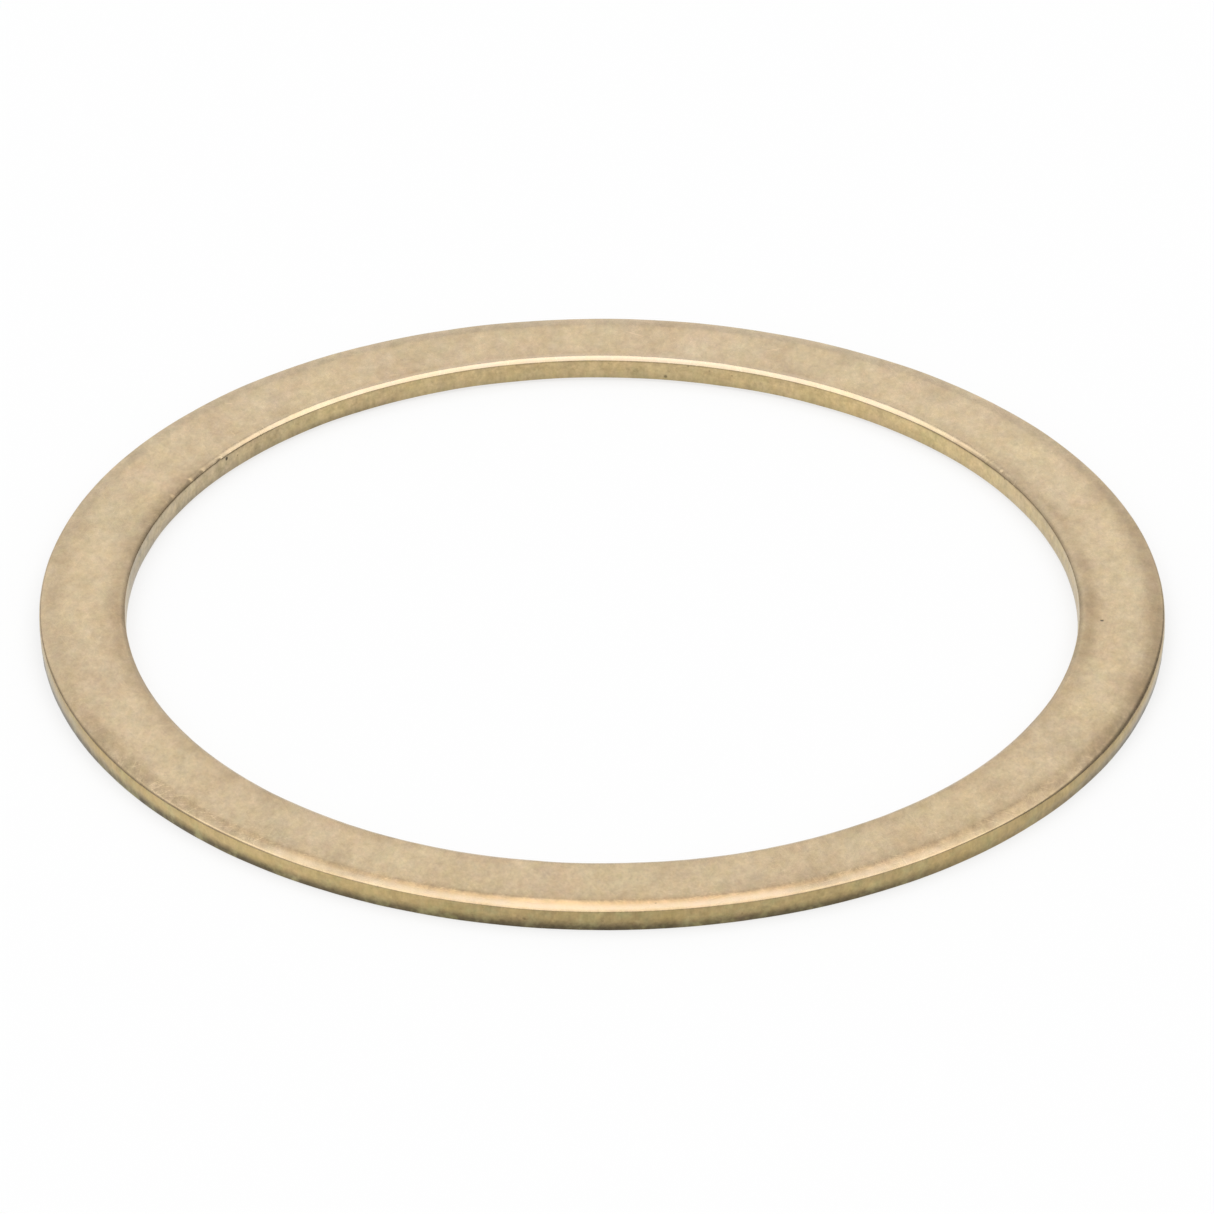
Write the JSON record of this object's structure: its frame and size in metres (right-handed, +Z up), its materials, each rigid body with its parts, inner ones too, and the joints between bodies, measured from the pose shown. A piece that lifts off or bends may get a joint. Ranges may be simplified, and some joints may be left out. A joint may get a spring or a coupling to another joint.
{
  "type": "flat washer",
  "caption": "Large thin plain flat washer in tumbled brass, with a wide clear bore, a narrow flat face and sheared edges.",
  "frame": {"origin": "centre of the hole, on the plane of the underside that the washer lies on", "axes": "+Z up along the axis of the hole, out of the face whose outer edge is rolled over"},
  "size_m": [0.057, 0.057, 0.0013],
  "materials": {
    "tumbled_brass": "Rolled brass sheet, blanked and tumbled: a cloudy satin face with fine marks, olive sheared walls."
  },
  "bodies": {
    "root": {"washer_ring": "tumbled_brass"}
  },
  "joints": []
}
